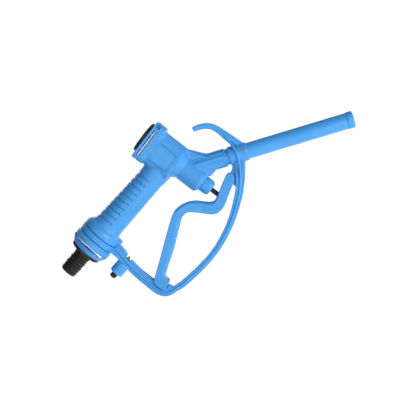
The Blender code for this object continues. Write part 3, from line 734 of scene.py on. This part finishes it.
def make_guard():
    shapes = strap(GUARD_PATH, 4.6, 5.9, 5.0, 3, -16)
    shapes += strap(HOOK_LINE, 4.0, 4.9, 4.6)
    for sign in (-1.0, 1.0):
        shapes.append(wire([side(x, z, y * sign) for x, z, y in smooth(BRACE, 5)], 1.5, 12))
    shapes += [
        turned(GRIP, [(53.0, 0), (53.0, RING_R, 0.9), (60.3, RING_R, 0.9), (60.3, 0)], 128),
        turned(SPOUT, [(53.0, 0), (53.0, 11.0, 0.6), (74.6, 11.0, 1.5), (76.0, 10.4), (76.0, 0)], 96),
        prism([(49.5, -105.2), (62.0, -105.2), (63.5, -107.0), (63.5, -115.6), (51.0, -111.0)],
              -4.7, 4.7),
        turned(LATCH, [(34.2, 0), (34.2, 8.25, 1.6), (50.0, 8.25), (50.0, 0)], 72),
        prism(EAR, -2.6, 2.6), prism(disc(*PIVOT, 4.3), -5.0, 5.0)]
    guard = moulded(shapes, "guard_moulding", 0.46, 9)
    carve(guard, rod(GRIP, 50.0, 63.0, STUB_R + GAP, 96), rod(GRIP, 25.0, 52.55, 24.9, 96),
          rod(GRIP, 60.6, 76.0, 24.4, 96), rod(SPOUT, 50.0, 82.0, 9.8, 96),
          rod(LATCH, 33.0, 46.0, 4.3, 48), rod(LATCH, 44.0, 62.0, 1.8, 32),
          box(LATCH, (56.5, 66.0), (-3.6, 3.4), (-9.0, 9.0)),
          prism(disc(*PIVOT, 2.15), -9.0, 9.0), prism(disc(*SCREW, 1.6), -13.5, -9.0))
    return place(guard, "guard_moulding", BLUE_DEEP, "nozzle", "blue_plastic", "guard",
                 sharp=MOULDED_SHARP)


# ---------------------------------------------------------------- trigger
TRIGGER_SIDE = [
    (214.0, -84.2), (213.0, -80.4), (209.6, -78.5), (200.0, -80.7), (190.0, -83.5), (184.0, -85.0),
    (177.0, -86.3), (173.0, -84.8), (169.0, -80.0), (163.0, -70.0), (155.5, -62.5), (147.0, -58.3),
    (140.0, -56.6), (134.0, -57.0), (125.0, -60.0), (100.0, -70.0), (80.0, -78.5), (65.0, -84.5),
    (57.0, -88.0), (54.2, -92.0), (53.5, -97.0), (54.0, -103.0), (56.0, -104.9), (63.0, -104.6),
    (67.3, -103.6), (67.6, -100.0), (68.0, -96.0), (71.0, -94.6), (80.4, -91.0), (100.4, -84.0),
    (125.4, -73.0), (135.4, -69.0), (141.2, -67.0), (145.2, -67.4), (149.2, -70.6), (153.8, -80.4),
    (160.0, -91.0), (165.0, -96.8), (172.0, -99.3), (180.0, -99.0), (190.0, -96.0), (200.0, -93.0),
    (206.6, -91.2), (212.0, -88.6)]
TRIGGER_CHANNEL = [
    (40.0, -115.0), (60.0, -115.0), (59.8, -104.5), (61.8, -101.8), (64.8, -101.2), (65.1, -96.0),
    (67.5, -92.4), (80.0, -87.3), (100.0, -80.3), (125.0, -69.3), (135.0, -65.3), (141.0, -63.5),
    (147.0, -63.6), (152.0, -69.0), (156.6, -79.0), (162.4, -89.8), (167.0, -94.8), (172.0, -96.7),
    (179.8, -96.4), (190.0, -93.4), (199.0, -90.6), (199.0, -105.0), (225.0, -105.0),
    (225.0, -70.0), (190.0, -72.0), (168.0, -60.0), (150.0, -48.0), (110.0, -52.0), (40.0, -80.0)]
ARM_MID, ARM_SLOPE = -119.0, 0.42    # the line between the arm's upper and lower edges
LATCH_WALL = [(58.4, -88.6), (61.1, -88.6), (62.2, -103.5), (59.8, -104.4), (59.0, -98.0)]


def bevel_point(x, z):
    """Where an outline point lies on the flank: the arm is bevelled below, the bend above."""
    if 69.0 < x < 138.0 and z < ARM_MID + ARM_SLOPE * x:
        return x - 1.5, z + 3.8
    if 139.0 < x < 186.0 and z > -87.0 and z > 0.9 * (139.0 - x) - 66.0:
        return x - 1.5, z - 1.9
    return x, z


def make_trigger():
    """A channel, open above and at both ends, with a stem pad and a holed latch wall."""
    full = smooth_loop(TRIGGER_SIDE, 4)
    bevelled = smooth_loop([bevel_point(x, z) for x, z in TRIGGER_SIDE], 4)
    layers = [(-8.0, bevelled), (-6.0, full), (6.0, full), (8.0, bevelled)]
    blank = moulded([loft(layers)], "blank", 0.5, 4)
    carve(blank, prism(TRIGGER_CHANNEL, -5.3, 5.3))
    inner = [prism([(178.5, -98.0), (190.5, -95.0), (190.5, -93.3), (178.5, -93.3)], -5.6, 5.6),
             prism(LATCH_WALL, -5.6, 5.6)]
    trigger = moulded([blank] + inner, "trigger_moulding", 0.5, 1)
    hole = Axis(59.6, -94.75, GRIP_SLOPE - TRIGGER_PULL)
    carve(trigger, rod(hole, -4.0, 4.0, 2.3, 32), prism(disc(*PIVOT, 2.3), -9.0, 9.0))
    return place(trigger, "trigger_moulding", BLUE, "trigger", "blue_plastic", "trigger")


# ---------------------------------------------------------------- latch and fasteners
def make_small_parts():
    button = turned(LATCH, [
        (27.8, 0), (27.8, 4.0, 1.3), (37.0, 4.0), (37.0, 1.8), (31.0, 1.8), (31.0, 0)], 48)
    place(button, "latch_button_cap", BLACK, "latch", "black_plastic", "latch_button")
    pin = turned(LATCH, [
        (31.3, 0), (31.3, 1.5), (56.7, 1.5), (56.7, 1.0), (57.7, 1.0), (57.7, 1.5, 0.1),
        (60.2, 1.5, 0.6), (60.2, 0)], 32)
    place(pin, "latch_pin_rod", DARK_STEEL, "latch", "stainless", "latch_pin")
    screw = prism(disc(*SCREW, 1.1), -10.6, -9.4)
    place(screw, "guard_set_screw", DARK_STEEL, "nozzle", "stainless", "guard_screw")
    axle = prism(disc(*PIVOT, 2.0, 48), -7.8, 7.8)
    place(axle, "trigger_axle", BLUE, "nozzle", "blue_plastic", "trigger_pin")
    spring = coil(VALVE, -14.7, 19.7, 7.0, 0.9, 6.5)
    place(spring, "valve_spring_coil", STEEL, "nozzle", "stainless", "valve_spring")
    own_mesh(spring)
    small = coil(LATCH, 37.2, 45.7, 2.9, 0.35, 5.0)
    place(small, "latch_spring_coil", STEEL, "nozzle", "stainless", "latch_spring")
    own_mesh(small)
    for node in ("bonnet_oring", "stem_oring_upper", "stem_oring_lower", "hose_tail_oring_front",
                 "hose_tail_oring_rear", "spout_oring", "poppet_seal"):
        keep_node(node, RUBBER)
    for node in ("poppet", "gland_washer"):
        keep_node(node, NATURAL)
    keep_node("poppet_retainer", STEEL)
    keep_node("latch_clip", DARK_STEEL)


make_valve_body()
make_bonnet()
make_hose_end()
make_spout()
make_guard()
make_trigger()
make_small_parts()


# ---------------------------------------------------------------- stage, light and camera
MIDDLE = (0.0, 0.0, -0.1)      # what the lights aim at, in metres
EYE = side(272.0, -40.0, -1000.0)
TARGET = side(166.15, -72.46)
ROLL = math.radians(52.2)      # the nozzle stands tilted in the camera's view
VIEW_WIDTH = 0.4747            # metres across the view at the target


def make_floor():
    mesh = bpy.data.meshes.new("floor")
    reach, z = 30.0, -0.75
    mesh.from_pydata([(-reach, -reach, z), (reach, -reach, z), (reach, reach, z), (-reach, reach, z)],
                     [], [(0, 1, 2, 3)])
    floor = bpy.data.objects.new("floor", mesh)
    bpy.context.scene.collection.objects.link(floor)
    mat, _, _, shader = new_material("floor_white")
    shader.inputs["Base Color"].default_value = (0.93, 0.93, 0.93, 1.0)
    shader.inputs["Roughness"].default_value = 0.9
    shader.inputs["Emission Color"].default_value = (1.0, 1.0, 1.0, 1.0)
    shader.inputs["Emission Strength"].default_value = 0.80
    mesh.materials.append(mat)


def area_light(name, at, size, power):
    """A round soft light aimed at the object's middle."""
    data = bpy.data.lights.new(name, "AREA")
    data.shape = "DISK"
    data.size = size
    data.energy = power
    light = bpy.data.objects.new(name, data)
    light.location = at
    light.rotation_euler = (Vector(MIDDLE) - Vector(at)).to_track_quat("-Z", "Y").to_euler()
    bpy.context.scene.collection.objects.link(light)


def make_light():
    """A dim even world, which the camera sees as white, and three soft lights."""
    world = bpy.data.worlds.new("studio")
    world.use_nodes = True
    nodes, links = world.node_tree.nodes, world.node_tree.links
    background = nodes["Background"]
    background.inputs["Color"].default_value = (1.0, 1.0, 1.0, 1.0)
    background.inputs["Strength"].default_value = 0.26
    seen = nodes.new("ShaderNodeBackground")
    seen.inputs["Color"].default_value = (1.0, 1.0, 1.0, 1.0)
    seen.inputs["Strength"].default_value = 1.0
    path = nodes.new("ShaderNodeLightPath")
    choose = nodes.new("ShaderNodeMixShader")
    links.new(path.outputs["Is Camera Ray"], choose.inputs["Fac"])
    links.new(background.outputs["Background"], choose.inputs[1])
    links.new(seen.outputs["Background"], choose.inputs[2])
    links.new(choose.outputs["Shader"], nodes["World Output"].inputs["Surface"])
    bpy.context.scene.world = world
    area_light("key", (0.65, -0.75, -0.75), 0.40, 12.6)
    area_light("fill", (-0.25, -1.3, 0.25), 0.9, 4.0)
    area_light("back", (-0.2, 1.2, 0.5), 0.9, 5.0)


def make_camera():
    data = bpy.data.cameras.new("camera")
    cam = bpy.data.objects.new("camera", data)
    bpy.context.scene.collection.objects.link(cam)
    back = (EYE - TARGET).normalized()
    up = Vector((math.sin(ROLL), 0.0, math.cos(ROLL)))
    right = up.cross(back).normalized()
    up = back.cross(right)
    cam.matrix_world = Matrix((
        (right.x, up.x, back.x, EYE.x), (right.y, up.y, back.y, EYE.y),
        (right.z, up.z, back.z, EYE.z), (0, 0, 0, 1)))
    data.sensor_width = 36.0
    data.lens = data.sensor_width * (EYE - TARGET).length / VIEW_WIDTH
    data.clip_start, data.clip_end = 0.01, 100.0
    bpy.context.scene.camera = cam


make_floor()
make_light()
make_camera()
bpy.context.scene.view_settings.view_transform = "Standard"
